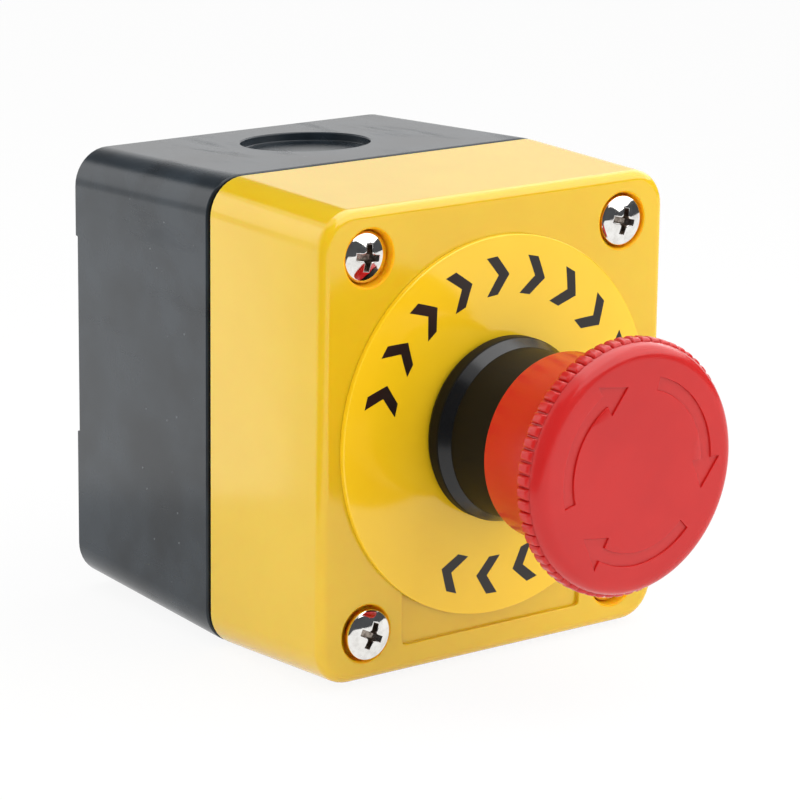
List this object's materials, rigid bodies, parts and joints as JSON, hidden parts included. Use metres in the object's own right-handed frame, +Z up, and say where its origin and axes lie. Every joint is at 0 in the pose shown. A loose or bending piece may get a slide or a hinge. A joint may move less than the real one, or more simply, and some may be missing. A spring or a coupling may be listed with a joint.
{
  "type": "emergency stop push button station",
  "caption": "Enclosed emergency stop station: yellow and black box with a red twist-release mushroom push button on a round legend plate.",
  "frame": {"origin": "centre of the four mounting holes, in the plane of the rear mounting face", "axes": "+X to the right seen from the front, +Z up, +Y to the rear: the button faces -Y"},
  "size_m": [0.0678, 0.1021, 0.0752],
  "materials": {
    "base_plastic": "moulded black, semi-gloss",
    "cover_plastic": "moulded safety yellow, glossy",
    "legend_plastic": "yellow sheet with black printed marks",
    "seal_rubber": "black rubber",
    "screw_metal": "bright plated steel",
    "bezel_plastic": "moulded black, satin",
    "head_plastic": "moulded red, satin gloss",
    "mechanism_plastic": "natural white moulding",
    "spring_steel": "spring steel",
    "contact_plastic": "moulded red, matt",
    "contact_brass": "plain brass",
    "contact_silver": "silver contact metal"
  },
  "bodies": {
    "enclosure": {"rear_box": "base_plastic", "front_cover": "cover_plastic", "cover_seal": "seal_rubber", "cover_screws": "screw_metal", "legend_plate": "legend_plastic", "operator_body": "bezel_plastic", "panel_seal": "seal_rubber", "skirt_seal": "seal_rubber", "lock_washer": "spring_steel", "lock_nut": "bezel_plastic", "latch_pins": "screw_metal", "return_spring": "spring_steel", "contact_holder": "bezel_plastic", "holder_screws": "screw_metal", "contact_housing": "contact_plastic", "housing_cover": "contact_plastic", "fixed_contacts": "contact_brass", "fixed_tips": "contact_silver", "terminal_clamps": "contact_brass", "terminal_screws": "screw_metal", "contact_spring": "spring_steel"},
    "plunger": {"plunger_stem": "mechanism_plastic", "head_clip": "spring_steel"},
    "head": {"mushroom_head": "head_plastic", "release_cam": "mechanism_plastic"},
    "moving_contact": {"contact_pusher": "mechanism_plastic", "contact_bridge": "contact_brass", "moving_tips": "contact_silver", "spring_seat": "mechanism_plastic"}
  },
  "joints": [
    {"name": "head_press", "type": "slide", "parent": "enclosure", "child": "plunger", "axis": [0, 1, 0], "range_m": [0, 0.005], "stiffness_N_per_m": 2000, "deforming": ["return_spring"]},
    {"name": "head_twist", "type": "hinge", "parent": "plunger", "child": "head", "pos_m": [0, -0.09, 0], "axis": [0, 1, 0], "range_deg": [0, 45], "stiffness_Nm_per_rad": 0.15},
    {"name": "contact_open", "type": "slide", "parent": "enclosure", "child": "moving_contact", "axis": [0, 1, 0], "range_m": [0, 0.005], "deforming": ["contact_spring"]}
  ],
  "couplings": [
    {"joint": "contact_open", "follows": "head_press", "ratio": 1}
  ]
}
